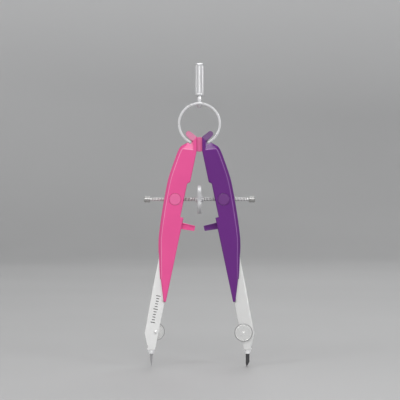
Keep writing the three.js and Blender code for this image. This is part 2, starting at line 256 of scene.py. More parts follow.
def moulding(side, outline, widths, y_edge, y_face, crown, highlighted_rings=()):
    """A flat moulded piece: walls rise from depth y_edge, round over and end in a flat face at
    y_face. crown lists (inset share, height share) of the rounded stretch. Heights follow the
    mean of the bevel widths on either side of each point. The crown's rings whose numbers are in
    the last argument get the second material, a painted highlight."""
    bm = bmesh.new()
    toward = 1 if y_face > y_edge else -1
    count = len(outline)
    rise = [(widths[i - 1] + widths[i]) / 2 for i in range(count)]
    rows = [[leg_point(side, u, v, y_edge) for u, v in outline]]
    for share, height in crown:
        moved = inset(outline, widths, share)
        rows.append([
            leg_point(side, u, v, y_face - toward * rise[i] * (1 - height))
            for i, (u, v) in enumerate(moved)])
    grid_surface(bm, rows, caps=True)
    bm.faces.ensure_lookup_table()
    # Painted highlight: these rings of the crown take the paler copy of the plastic.
    for ring in highlighted_rings:
        for i in range(count):
            if widths[i] > HIGHLIGHT_WIDTH:
                bm.faces[(ring + 1) * count + i].material_index = SECOND
    return bm


def prism(side, outline, y0, y1):
    """A flat piece of a leg with square edges, from depth y0 to y1."""
    bm = bmesh.new()
    rows = [[leg_point(side, u, v, y) for u, v in outline] for y in (y0, y1)]
    grid_surface(bm, rows, caps=True)
    return bm


def cylinder_y(r, y0, y1, sides=48):
    """A round bar along the depth axis."""
    bm = turned([(0, y0), (r, y0), (r, y1), (0, y1)], sides)
    bm.transform(Matrix.Rotation(-math.pi / 2, 4, "X"))
    return bm


def cuboid(size, centre=(0, 0, 0)):
    """A plain block, for cutting or as the start of a shape."""
    bm = bmesh.new()
    bmesh.ops.create_cube(bm, size=1)
    bm.transform(Matrix.Translation(centre) @ Matrix.Diagonal((*size, 1)))
    return bm


def at_leg(bm, side, at):
    """Moves a shape from the fulcrum to a place on the leg."""
    bm.transform(Matrix.Translation(leg_point(side, *at)))
    return bm


def place(obj, matrix):
    """Moves a finished mesh, which is in metres, by a matrix in millimetres."""
    obj.data.transform(Matrix.Scale(1 / MM, 4))
    obj.data.transform(Matrix.Scale(MM, 4) @ matrix)


def boolean(obj, tools, operation="DIFFERENCE"):
    """Cuts or joins with the tools, which are used up."""
    for tool in tools:
        modifier = obj.modifiers.new("cut", "BOOLEAN")
        modifier.operation = operation
        modifier.solver = "EXACT"
        modifier.object = tool
    apply_modifiers(obj)
    for tool in tools:
        bpy.data.objects.remove(tool, do_unlink=True)


def apply_modifiers(obj):
    """Keeps what the modifiers make as the object's own mesh."""
    graph = bpy.context.evaluated_depsgraph_get()
    graph.update()
    mesh = bpy.data.meshes.new_from_object(obj.evaluated_get(graph))
    obj.modifiers.clear()
    old = obj.data
    obj.data = mesh
    mesh.name = obj.name
    bpy.data.meshes.remove(old)


def soften(obj, width, angle=35, segments=2):
    """Bevels the edges that are sharper than angle."""
    modifier = obj.modifiers.new("bevel", "BEVEL")
    modifier.width = width * MM
    modifier.segments = segments
    modifier.limit_method = "ANGLE"
    modifier.angle_limit = math.radians(angle)
    modifier.use_clamp_overlap = True
    apply_modifiers(obj)
    crisp(obj, 40)
    weigh_normals(obj)


def tool(bm):
    """An object for boolean() to cut or join with."""
    return from_bmesh("cutter", bm, smooth=False)


def finish(obj, material, body, slot, *nodes):
    """Gives a piece its material and body, and hides the CAD nodes it stands for. slot is not used.
    """
    if material:
        obj.data.materials.append(material)
    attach(obj, body)
    if nodes:
        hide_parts(*nodes)


# ---- materials ----------------------------------------------------------------------
class Nodes:
    """A small wrapper that builds one material's nodes."""

    def __init__(self, name):
        self.material = bpy.data.materials.new(name)
        self.material.use_nodes = True
        self.tree = self.material.node_tree
        self.shader = self.tree.nodes["Principled BSDF"]
        self.coords = self.add("ShaderNodeTexCoord").outputs["Object"]

    def add(self, kind, **values):
        node = self.tree.nodes.new(kind)
        for key, value in values.items():
            setattr(node, key, value)
        return node

    def link(self, source, target):
        self.tree.links.new(source, target)

    def noise(self, scale, detail=3, stretch=(1, 1, 1), tilt=0.0):
        mapping = self.add("ShaderNodeMapping")
        mapping.inputs["Scale"].default_value = stretch
        mapping.inputs["Rotation"].default_value = (0, tilt, 0)
        self.link(self.coords, mapping.inputs["Vector"])
        node = self.add("ShaderNodeTexNoise")
        node.inputs["Scale"].default_value = scale
        node.inputs["Detail"].default_value = detail
        self.link(mapping.outputs["Vector"], node.inputs["Vector"])
        return node.outputs["Fac"]

    def rings(self, scale, centre, axis):
        """Fine rings round an axis, as a lathe leaves them."""
        offset = self.add("ShaderNodeVectorMath", operation="SUBTRACT")
        offset.inputs[1].default_value = Vector(centre) * MM
        self.link(self.coords, offset.inputs[0])
        across = self.add("ShaderNodeVectorMath", operation="MULTIPLY")
        across.inputs[1].default_value = [0 if i == "XYZ".index(axis) else 1 for i in range(3)]
        self.link(offset.outputs["Vector"], across.inputs[0])
        distance = self.add("ShaderNodeVectorMath", operation="LENGTH")
        self.link(across.outputs["Vector"], distance.inputs[0])
        node = self.add("ShaderNodeTexNoise", noise_dimensions="1D")
        node.inputs["Scale"].default_value = scale
        node.inputs["Detail"].default_value = 2
        self.link(distance.outputs["Value"], node.inputs["W"])
        return node.outputs["Fac"]

    def ramp(self, source, low, high, start=0.35, end=0.65):
        node = self.add("ShaderNodeMapRange")
        node.inputs["From Min"].default_value = start
        node.inputs["From Max"].default_value = end
        node.inputs["To Min"].default_value = low
        node.inputs["To Max"].default_value = high
        self.link(source, node.inputs["Value"])
        return node.outputs["Result"]

    def mix(self, factor, first, second):
        node = self.add("ShaderNodeMix", data_type="RGBA")
        self.link(factor, node.inputs["Factor"])
        for socket, value in ((node.inputs[6], first), (node.inputs[7], second)):
            if isinstance(value, tuple):
                socket.default_value = (*value, 1)
            else:
                self.link(value, socket)
        return node.outputs[2]

    def bump(self, source, strength, distance):
        node = self.add("ShaderNodeBump")
        node.inputs["Strength"].default_value = strength
        node.inputs["Distance"].default_value = distance * MM
        self.link(source, node.inputs["Height"])
        self.link(node.outputs["Normal"], self.shader.inputs["Normal"])


def plastic(name, colour, dark_colour):
    """Moulded plastic: a slow drift of colour, patchy gloss and a fine grain."""
    n = Nodes(name)
    drift, gloss, grain = n.noise(70, 2), n.noise(2600, 3), n.noise(4500, 3)
    n.link(n.mix(n.ramp(drift, 0, 1), dark_colour, colour), n.shader.inputs["Base Color"])
    n.link(n.ramp(gloss, 0.29, 0.34), n.shader.inputs["Roughness"])
    n.bump(grain, 0.06, 0.02)
    n.shader.inputs["Specular IOR Level"].default_value = 0.5
    return n.material


def metal(name, colour, dark_colour, roughness, tilt=0.0, stretch=(1, 1, 0.02), grain=0.1,
          lathe=None, metallic=1.0):
    """Plated or ground metal. The grain is brushed along a leg's tilt, or turned round a lathe's
    (centre, axis)."""
    n = Nodes(name)
    n.shader.inputs["Metallic"].default_value = metallic
    brushed = n.rings(9000, *lathe) if lathe else n.noise(6000, 3, stretch, tilt)
    patches = n.noise(120, 3)
    tint = n.mix(n.ramp(patches, 0, 1), dark_colour, colour)
    n.link(n.mix(n.ramp(brushed, 0, 0.35), colour, tint), n.shader.inputs["Base Color"])
    n.link(n.ramp(brushed, roughness - 0.04, roughness + 0.05), n.shader.inputs["Roughness"])
    n.bump(brushed, grain, 0.01)
    return n.material


def graphite():
    n = Nodes("graphite_lead")
    grain = n.noise(4500, 5)
    n.link(n.mix(n.ramp(grain, 0, 1), (0.04, 0.04, 0.042), (0.08, 0.08, 0.084)),
           n.shader.inputs["Base Color"])
    n.shader.inputs["Metallic"].default_value = 0.4
    n.link(n.ramp(grain, 0.36, 0.48), n.shader.inputs["Roughness"])
    n.bump(grain, 0.15, 0.02)
    return n.material


# Each has its usual colour and a darker one that it drifts towards in patches, both linear.
MATERIALS = {
    "pink_plastic": plastic("pink_plastic", (0.75, 0.082, 0.285), (0.73, 0.076, 0.275)),
    # A paler copy of the pink plastic: painted highlight for the pale line where rounded edges catch
    # the light.
    "pink_painted_highlight": plastic("pink_painted_highlight", (0.82, 0.27, 0.46), (0.79, 0.22, 0.42)),
    # Darker, greyer copy of the pink plastic: painted shade and painted sheen on the slope along the
    # hook.
    "pink_painted_shade_and_sheen": plastic("pink_painted_shade_and_sheen", (0.62, 0.20, 0.33), (0.54, 0.12, 0.26)),
    "pink_button": plastic("pink_button", (0.75, 0.14, 0.34), (0.72, 0.13, 0.32)),
    "purple_plastic": plastic("purple_plastic", (0.122, 0.011, 0.19), (0.114, 0.010, 0.18)),
    # A paler copy of the purple plastic: painted highlight for the pale line where rounded edges
    # catch the light.
    "purple_painted_highlight": plastic("purple_painted_highlight", (0.28, 0.12, 0.35), (0.24, 0.09, 0.31)),
    # Darker, greyer copy of the purple plastic: painted shade and painted sheen on the slope along
    # the hook.
    "purple_painted_shade_and_sheen": plastic("purple_painted_shade_and_sheen", (0.13, 0.045, 0.17), (0.08, 0.015, 0.125)),
    "purple_button": plastic("purple_button", (0.15, 0.035, 0.205), (0.135, 0.03, 0.19)),
    # The bars are the same nickel: the left copy is painted paler and made less metallic than the
    # right, as painted light for the light that falls on the left bar.
    "satin_left": metal("satin_nickel_left_painted_light", (0.97, 0.97, 0.96), (0.91, 0.91, 0.90), 0.34,
                        tilt=-OPEN_ANGLE, metallic=0.6),
    "satin_right": metal("satin_nickel_right", (0.90, 0.90, 0.89), (0.83, 0.83, 0.82), 0.34,
                         tilt=OPEN_ANGLE, metallic=0.75),
    "satin_turned": metal("satin_nickel_turned", (0.42, 0.42, 0.41), (0.34, 0.34, 0.33), 0.32,
                          grain=0.04, lathe=((0, 0, SPINDLE_Z), "X"), metallic=0.75),
    # The spindle's nickel in a lit and a shaded copy: a paler one as painted light on the thread
    # crests and the rest of the rod, a near black one as painted shade in the thread roots.
    "thread_crest_painted_light": metal("satin_nickel_thread_crest", (0.8, 0.8, 0.79), (0.7, 0.7, 0.69), 0.32,
                          grain=0.04, lathe=((0, 0, SPINDLE_Z), "X"), metallic=0.6),
    "thread_root_painted_shade": metal("satin_nickel_thread_root", (0.1, 0.1, 0.098), (0.07, 0.07, 0.069), 0.45,
                         grain=0.02, metallic=0.5),
    # Darker copy of the disc's nickel: painted shade on the outer faces of the knurled rim.
    "knurl_shade": metal("satin_nickel_knurl_painted_shade", (0.4, 0.4, 0.4), (0.3, 0.3, 0.3), 0.36,
                         grain=0.02, metallic=0.75),
    "disc_left": metal("satin_nickel_disc_left", (0.88, 0.88, 0.87), (0.84, 0.84, 0.83), 0.3,
                       grain=0.12, lathe=(leg_matrix(-1) @ leg_point(-1, *CLAMP_AT), "Y"),
                       metallic=0.85),
    "disc_right": metal("satin_nickel_disc_right", (0.88, 0.88, 0.87), (0.84, 0.84, 0.83), 0.3,
                        grain=0.12, lathe=(leg_matrix(1) @ leg_point(1, *CLAMP_AT), "Y"),
                        metallic=0.85),
    "bright_chrome": metal("bright_chrome", (0.69, 0.69, 0.70), (0.65, 0.65, 0.66), 0.3,
                           grain=0.03, lathe=((0, 0, 0), "Z"), metallic=0.6),
    "ring_chrome": metal("ring_chrome", (0.76, 0.76, 0.77), (0.74, 0.74, 0.75), 0.31,
                         stretch=(0.05, 0.005, 0.05), grain=0.01, metallic=0.6),
    "wheel_chrome": metal("wheel_chrome", (0.54, 0.54, 0.55), (0.48, 0.48, 0.49), 0.42,
                          grain=0.05, lathe=((0, 0, SPINDLE_Z), "X"), metallic=0.5),
    "needle_steel": metal("needle_steel", (0.56, 0.56, 0.57), (0.50, 0.50, 0.51), 0.3,
                          grain=0.02),
    "ferrule": metal("ferrule_chrome", (0.97, 0.97, 0.98), (0.93, 0.93, 0.94), 0.3, grain=0.02,
                     metallic=0.2),
    "tool_steel": metal("tool_steel", (0.58, 0.58, 0.59), (0.46, 0.46, 0.47), 0.3,
                        stretch=(0.5, 0.5, 0.5)),
    "graphite": graphite(),
}
PLASTIC = {"left": "pink_plastic", "right": "purple_plastic"}
PAINTED_HIGHLIGHT = {"left": "pink_painted_highlight", "right": "purple_painted_highlight"}
PAINTED_SHADE_AND_SHEEN = {"left": "pink_painted_shade_and_sheen", "right": "purple_painted_shade_and_sheen"}


# ---- moulded leg shells -------------------------------------------------------------
# The crown's points are (inset share, height share). Its rings numbered below get a painted
# highlight, a paler copy of the plastic, wherever the rounded edge is wider than the width below.
CROWN = [(0, 0), (0.04, 0.16), (0.12, 0.34), (0.8, 0.91), (0.9, 0.97), (1, 1)]
HIGHLIGHT_RINGS = (3, 4)
OUTER_WIDTH = 1.75
SHOULDER_WIDTH = 2
HIGHLIGHT_WIDTH = 0.7
SMALL_WIDTH = 0.35


def hook_end(steps):
    """The half round end of the hook on a leg's head."""
    centre, radius = Vector((-4.3, 6.9)), 1.5
    heading = math.atan2(3.7, -2.4)
    out = []
    for i in range(steps + 1):
        angle = heading + math.pi / 2 - math.pi * i / steps
        out.append((centre.x + radius * math.cos(angle), centre.y + radius * math.sin(angle)))
    return out


def with_widths(stretches):
    """Spreads (points, width) stretches into a list of points and a list of their widths."""
    outline, widths = [], []
    for points, width in stretches:
        for point in points:
            outline.append(point)
            widths.append(width)
    return outline, widths


def outer_width(u):
    """Width of the rounded outer edge, which halves towards the lower end."""
    narrows_from, narrows_over = 62, 14
    down = min(1, max(0, (u - narrows_from) / narrows_over))
    return OUTER_WIDTH * (1 - 0.5 * down)


def leg_outline():
    """Points of the moulded leg's outline with the bevel width of the edge after each."""
    recess = INNER_EDGE + 1.4
    outer = spline([(2.8, 9.35), (5.2, 10.4), (11, 11.4), (21.2, 12.6), (31, 12.6), (41, 12.2),
                    (50.7, 11.5), (57.1, 10.6), (65.4, 8.6), (75.1, 5.9)], 7)
    stretches = [
        ([(SLEEVE_END, LOWER_EDGE), (40.5, LOWER_EDGE), (40.5, recess), (22.2, recess),
          (21.7, recess - 0.4), (21.1, INNER_EDGE + 0.15), (20.6, INNER_EDGE), (4, INNER_EDGE),
          (-3.6, 2.2)], SMALL_WIDTH),
        (hook_end(16), 0.45),
        ([(-0.8, 4.27)], 0.15),
        ([(0.95, 4.5)], 0.6),
        ([(0.3, 6.4), (1.55, 7.9)], SHOULDER_WIDTH),
    ]
    stretches += [([point], outer_width(point[0])) for point in outer]
    stretches += [([(75.5, 5.4)], 0.6), ([(80.8, 3.6)], 0.5), ([(SLEEVE_END, 1.5)], 0.3)]
    return with_widths(stretches)


def leg_cavity():
    """Outline of the hollow inside the shells."""
    wall, lower = INNER_EDGE + 1.3, LOWER_EDGE + 1.3
    deep = wall + 1.4
    return [
        (8, wall), (19.8, wall), (21.2, deep), (41.8, deep), (41.8, lower), (95, lower),
        (95, 14), (62, 14), (62, 7.9),
        *spline([(54.9, 9.5), (38.7, 11.1), (22.2, 11.7), (11, 10)], 4), (8, 8.6)]


def sloping_cutter(side, face, corners, degrees, material_index=0):
    """Cutter for a facet that starts level with the front face on the line from the first to the
    second corner, and slopes away towards the others."""
    first, second = Vector(corners[0]), Vector(corners[1])
    along = (second - first).normalized()
    uphill = Vector((-along.y, along.x))
    under, over = [], []
    bm = bmesh.new()
    for u, v in corners:
        drop = math.tan(math.radians(degrees)) * uphill.dot(Vector((u, v)) - first)
        under.append(bm.verts.new(leg_point(side, u, v, face * (LEG_HALF_DEPTH + 0.01 - drop))))
        over.append(bm.verts.new(leg_point(side, u, v, face * (LEG_HALF_DEPTH + 3))))
    for i in range(4):
        j = (i + 1) % 4
        bm.faces.new((under[i], under[j], over[j], over[i]))
    bm.faces.new(under).material_index = material_index
    bm.faces.new(over)
    return bm


def head_facets(side, face):
    """The facet between the hook's rib and the shoulder, whose lower edge takes a painted highlight,
    and the slope along the hook, which takes painted shade and sheen."""
    lip = [(3.95, 2.5), (4.95, 12), (-1.2, 12), (-1.2, 3.75)]
    head = [(3.5, 2.6), (4.5, 12), (-1.2, 12), (-1.2, 3.75)]
    root, across, reach = Vector((-1.9, 3.2)), Vector((0.839, 0.544)), 9
    hook = Vector((-across.y, across.x)) * reach
    near, far = root - across * 3.5, root + across * 2
    slope = [tuple(p) for p in (near, far, far + hook, near + hook)]
    # The lip's floor takes a painted highlight, the slope along the hook painted shade and sheen.
    return [sloping_cutter(side, face, lip, 5, material_index=SECOND),
            sloping_cutter(side, face, head, 17),
            sloping_cutter(side, face, slope, 15, material_index=THIRD)]


def leg_openings(side):
    """Slots for the spindle in the inner and outer edge, and the window for the lever's tab."""
    return [
        prism(side, [(27.5, 1), (27.5, 4.5), (38.2, 4.5), (38.2, 1)], -1.75, 1.75),
        prism(side, [(29, 10), (29, 14), (37.2, 14), (37.2, 10)], -1.4, 1.4),
        prism(side, [(42.2, -1), (42.2, 4), (48.6, 4), (48.6, -1)],
              -CAVITY_HALF_DEPTH, CAVITY_HALF_DEPTH),
    ]


def flared_hole(radius, face):
    """Cutter for a through hole whose rim is slightly rounded at the outer face."""
    top = LEG_HALF_DEPTH
    profile = [(0, -1), (radius, -1), (radius, top - 0.25), (radius + 0.08, top - 0.08),
               (radius + 0.3, top + 0.05), (radius + 0.3, top + 1), (0, top + 1)]
    bm = turned(profile, 64)
    bm.transform(Matrix.Rotation(-face * math.pi / 2, 4, "X"))
    return bm


def shell_cuts(side, face):
    """Everything that is taken out of a shell, except for its screw holes."""
    hinge_half = HINGE_DISC_HALF + HINGE_GAP
    trunnion_hole_r, socket_half = TRUNNION_R + 0.05, 3.4
    cuts = [prism(side, leg_cavity(), -CAVITY_HALF_DEPTH, CAVITY_HALF_DEPTH),
            cylinder_y(HINGE_DISC_R + HINGE_GAP, -hinge_half, hinge_half, 96),
            *head_facets(side, face),
            at_leg(flared_hole(trunnion_hole_r, face), side, TRUNNION_AT), *leg_openings(side)]
    for at, radius in ((LEVER_PIN_AT, LEVER_PIN_R), (BAR_PIN_AT, BAR_PIN_R)):
        socket = cylinder_y(radius + PIN_CLEARANCE, -socket_half, socket_half, 32)
        cuts.append(at_leg(socket, side, at))
    return cuts


def add_screw_bosses(shell, side, front):
    """Bosses inside the shell, bored for the screws. Only the back shell is bored right through,
    with a wider bore for the head."""
    face = -1 if front else 1
    boss_r, bore_r, head_r, head_depth = 2.4, 1, 1.9, 1
    near, far = sorted((face * SEAM, face * (CAVITY_HALF_DEPTH + 0.2)))
    bosses, bores = [], []
    for at in SHELL_SCREWS.values():
        bosses.append(at_leg(cylinder_y(boss_r, near, far, 32), side, at))
        bores.append(at_leg(cylinder_y(bore_r, -3, 0.5 if front else 5, 32), side, at))
        if not front:
            head_bore = cylinder_y(head_r, LEG_HALF_DEPTH - head_depth, 5, 48)
            bores.append(at_leg(head_bore, side, at))
    boolean(shell, [tool(bm) for bm in bosses], "UNION")
    boolean(shell, [tool(bm) for bm in bores])


def leg_shell(name, side, front):
    """The front or back half of a leg's casing."""
    face = -1 if front else 1
    label = f"{name}_leg_{'front' if front else 'back'}_shell"
    outline, widths = leg_outline()
    shell = from_bmesh(label, moulding(
        side, outline, widths, face * SEAM, face * LEG_HALF_DEPTH, CROWN, HIGHLIGHT_RINGS),
        smooth=False)
    # The shell's plastic, then its painted highlight, then its painted shade and sheen.
    for plastic_and_painted_light in (PLASTIC, PAINTED_HIGHLIGHT, PAINTED_SHADE_AND_SHEEN):
        shell.data.materials.append(MATERIALS[plastic_and_painted_light[name]])
    boolean(shell, [tool(bm) for bm in shell_cuts(side, face)])
    add_screw_bosses(shell, side, front)
    place(shell, leg_matrix(side))
    soften(shell, 0.12)
    finish(shell, None, f"{name}_leg", PLASTIC[name], label)


def shell_screw(name, side, at):
    """Small pan-head screw with a cross recess, sunk in the back shell."""
    top = LEG_HALF_DEPTH - 0.1
    head_low = top - 0.75
    core, crest, pitch, turns = 0.7, 0.85, 0.55, 8
    profile = [(0, -2.6), (0.5, -2.6), (core, -2.3)]
    for i in range(turns):
        z = -2.2 + i * pitch
        profile += [(core, z), (crest, z + 0.18), (core, z + 0.36)]
    profile += [(core, head_low), *rounded(
        [(1.55, head_low), (1.6, top - 0.2), (1.3, top), (0, top)], 0.12)]
    bm = turned(profile, 40)
    bm.transform(Matrix.Rotation(-math.pi / 2, 4, "X"))
    label = f"{name}_{at}_shell_screw"
    screw = from_bmesh(label, bm)
    cross = []
    for angle in (0, math.pi / 2):
        bar = cuboid((1.7, 0.8, 0.38))
        bar.transform(Matrix.Translation((0, top, 0)) @ Matrix.Rotation(angle, 4, "Y"))
        cross.append(tool(bar))
    boolean(screw, cross)
    place(screw, leg_matrix(side) @ Matrix.Translation(leg_point(side, *SHELL_SCREWS[at])))
    crisp(screw, 30)
    finish(screw, MATERIALS["tool_steel"], f"{name}_leg", "tool_steel", label)


def inner_pin(label, name, side, radius, at):
    """Plain cross pin between the two shells."""
    half = 3.1
    profile = rounded([(0, -half), (radius, -half), (radius, half), (0, half)], 0.2)
    bm = turned(profile, 32)
    bm.transform(Matrix.Rotation(-math.pi / 2, 4, "X"))
    at_leg(bm, side, at)
    pin = from_bmesh(label, bm, leg_matrix(side))
    finish(pin, MATERIALS["tool_steel"], f"{name}_leg", "tool_steel", label)


# ---- metal leg bars -----------------------------------------------------------------
def bar_outline():
    """Points of a bar's outline with the bevel width of the edge after each."""
    return with_widths([
        ([(60.5, 1.9)], 0.2), ([(60.5, 7.3), (62.7, 7.4)], 0.2), ([(62.7, 8.9)], 0.85),
        ([(80, 8.9), (90, 8.6)], 0.85), ([(105.6, 8.15)], 0.6), ([(111.2, 5.65)], 0.3),
        ([(111.7, 5.15), (112.4, 4.8), (113.1, 4.75), (113.6, 4.95), (113.9, 4.8)], 0.15),
        ([(114.1, 4.3)], 0.25), ([(113.4, 0.6)], 0.5), ([(87.1, 0.9)], 0.2),
        ([(87.1, 1.9)], 0.2)])


def bar_half(side, face):
    """The front or back half of a bar, from its middle plane out."""
    outline, widths = bar_outline()
    crown = [(0, 0), (0.12, 0.42), (0.4, 0.75), (0.7, 0.93), (1, 1)]
    return moulding(side, outline, widths, 0, face * BAR_HALF_DEPTH, crown)


def leg_bar(name, side):
    """The metal lower leg, bored for its point and slit so that the clamp screw can grip it."""
    label = f"{name}_leg_bar"
    bar = from_bmesh(label, bar_half(side, -1), smooth=False)
    boolean(bar, [tool(bar_half(side, 1))], "UNION")
    bore = turned([(0, -1), (BORE_R, -1), (BORE_R, 26.3), (0, 26.3)], 48)
    bore.transform(Matrix.Translation((side * TIP_X, 0, 0)))
    bore.transform(leg_matrix(side).inverted())
    slit = prism(side, [(97, 0), (97, 6.1), (116, 2.2), (116, 0)], -0.3, 0.3)
    clamp_hole_r = 1.0
    cuts = [slit, bore, at_leg(cylinder_y(clamp_hole_r, -5, 5), side, CLAMP_AT),
            at_leg(cylinder_y(BAR_PIN_R + PIN_CLEARANCE, -5, 5), side, BAR_PIN_AT)]
    boolean(bar, [tool(bm) for bm in cuts])
    place(bar, leg_matrix(side))
    soften(bar, 0.07)
    finish(bar, MATERIALS[f"satin_{name}"], f"{name}_leg", "satin_nickel", label)


def bar_marks():
    """Plain etched strokes on the front of the needle leg's bar, every fifth one longer."""
    bm = bmesh.new()
    strokes, first_u, spacing, middle_v = 11, 84.5, 1.45, 4.9
    short, long, thick, proud = 1.5, 2.4, 0.42, 0.03
    for i in range(strokes):
        length = long if i % 5 == 0 else short
        centre = leg_point(-1, first_u + i * spacing, middle_v, -BAR_HALF_DEPTH - 0.005)
        stroke = cuboid((length, proud, thick), centre)
        mesh = bpy.data.meshes.new("stroke")
        stroke.to_mesh(mesh)
        stroke.free()
        bm.from_mesh(mesh)
        bpy.data.meshes.remove(mesh)
    marks = from_bmesh("left_bar_marks", bm, leg_matrix(-1), smooth=False)
    finish(marks, MATERIALS["graphite"], "left_leg", "graphite")


# ---- levers, trunnions and clamp screws ---------------------------------------------
def release_lever(name, side):
    """The arm inside the leg and its tab on the inner edge, thinned by a pocket on each face."""
    label = f"{name}_release_lever"
    near, far = sorted((side * 0.35, side * 2.55))
    outline = [(43.5, -6.85), (43.1, 3.2), (42.8, 6.3), (39.4, 5.9), (38.2, 5.2), (36.8, 5.2),
               (38.2, 7), (43, 9.2), (44.4, 10), (46, 10.25), (47.6, 9.7), (48, 8.2),
               (46.9, 3), (46.3, -6.85)]
    lever = from_bmesh(label, prism(side, outline, near, far), smooth=False)
    pocket = [(44.05, -6.2), (43.75, 1.2), (46.25, 1.2), (45.75, -6.2)]
    pocket_depth = 0.55
    cuts = [at_leg(cylinder_y(LEVER_PIN_R + PIN_CLEARANCE, -5, 5), side, LEVER_PIN_AT)]
    for y in (near, far):
        cuts.append(prism(side, pocket, y - pocket_depth, y + pocket_depth))
    boolean(lever, [tool(bm) for bm in cuts])
    place(lever, leg_matrix(side))
    soften(lever, 0.14)
    finish(lever, MATERIALS[PLASTIC[name]], label, PLASTIC[name], label)


def lever_spring(name, side):
    """Small coil spring between the leg's inner wall and the lever's arm."""
    label = f"{name}_lever_spring"
    bm = bmesh.new()
    turns, pitch, radius, wire = 2.5, 0.45, 0.75, 0.15
    steps, sides = 90, 10
    rows = []
    for i in range(steps + 1):
        t = i / steps
        angle = 2 * math.pi * turns * t
        out, along = Vector((0, math.cos(angle), math.sin(angle))), Vector((side, 0, 0))
        centre = Vector((side * pitch * turns * t, 0, 0)) + out * radius
        row = []
        for k in range(sides):
            a = 2 * math.pi * k / sides
            row.append(centre + out * wire * math.cos(a) + along * wire * math.sin(a))
        rows.append(row)
    grid_surface(bm, rows, caps=True)
    lever_middle = side * 1.45
    bm.transform(Matrix.Translation(leg_point(side, 41, 3.85, lever_middle)))
    spring = from_bmesh(label, bm, leg_matrix(side))
    finish(spring, MATERIALS["tool_steel"], f"{name}_leg", "tool_steel", label)


def trunnion(name, side):
    """Round button through the leg, bored for the spindle, with a pocket for its half nut."""
    label = f"{name}_trunnion"
    r, end = TRUNNION_R, 4.25
    half = rounded([(0, end), (r - 0.16, end - 0.02), (r, end - 0.2), (r, 0)], 0.08, 4)
    profile = [(a, -b) for a, b in half[:-1]] + list(reversed(half[:-1]))
    bm = turned(profile, 96)
    bm.transform(Matrix.Rotation(-math.pi / 2, 4, "X"))
    barrel = from_bmesh(label, bm, smooth=False)
    bore = turned([(0, -5), (BORE_R, -5), (BORE_R, 5), (0, 5)], 48)
    bore.transform(Matrix.Rotation(math.pi / 2, 4, "Y"))
    boolean(barrel, [tool(bore), tool(cuboid((3.4, 3.4, 4.8), (0, 0, -2.6)))])
    barrel.data.transform(Matrix.Translation((side * TRUNNION_X * MM, 0, SPINDLE_Z * MM)))
    crisp(barrel, 32)
    button = PLASTIC[name].replace("plastic", "button")
    finish(barrel, MATERIALS[button], label, PLASTIC[name], label)


def half_nut(name, side):
    """Block in the trunnion whose top is hollowed by ridges round the spindle."""
    label = f"{name}_half_nut"
    nut = from_bmesh(label, cuboid((2.8, 2.8, 3.65), (0, 0, -2.375)), smooth=False)
    ridges, spacing, crest, root = 6, 0.6, 1.25, 1.4
    profile = [(0, -2)]
    for i in range(ridges):
        z = -1.75 + i * spacing
        profile += [(crest, z - 0.25), (root, z), (crest, z + 0.25)]
    profile += [(0, 2)]
    groove = turned(profile, 48)
    groove.transform(Matrix.Rotation(math.pi / 2, 4, "Y"))
    boolean(nut, [tool(groove)])
    nut.data.transform(Matrix.Translation((side * TRUNNION_X * MM, 0, SPINDLE_Z * MM)))
    soften(nut, 0.06)
    finish(nut, MATERIALS["tool_steel"], label, "tool_steel", label)


def clamp_screw(name, side):
    """Thumb disc with a knurled rim, a groove, a centre dome and a shaft through the bar."""
    label = f"{name}_clamp_screw"
    start = BAR_HALF_DEPTH + 0.3
    top = start + 1.5
    rim, teeth = 4.9, 72
    profile = [(0, -BAR_HALF_DEPTH - 0.02), (0.6, -BAR_HALF_DEPTH), (0.93, -BAR_HALF_DEPTH + 0.12),
               (0.93, start - 0.2), (1.6, start - 0.15), (1.9, start), (rim - 0.35, start),
               (rim, start + 0.25), (rim, start + 0.6), (rim, top - 0.55), (rim - 0.05, top - 0.3),
               (rim - 0.4, top - 0.02), (rim - 0.62, top), (rim - 0.7, top - 0.2),
               (rim - 0.92, top - 0.2), (rim - 1.0, top), (2.2, top), (0.85, top),
               (0.72, top - 0.15), (0.6, top - 0.15), (0.52, top), (0.38, top + 0.1),
               (0.2, top + 0.16), (0, top + 0.18)]
    bm = turned(profile, teeth * 4, knurling({7, 8, 9}, teeth, 0.09))
    # The rim's outer faces take the second material: painted shade that outlines the disc.
    second_tone(bm, lambda centre: centre.xy.length > rim - 0.3)
    bm.transform(Matrix.Rotation(side * math.pi / 2, 4, "X"))
    at_leg(bm, side, CLAMP_AT)
    screw = from_bmesh(label, bm, leg_matrix(side), sharp=28)
    finish(screw, MATERIALS[f"disc_{name}"], label, "satin_nickel", label)
    screw.data.materials.append(MATERIALS["knurl_shade"])


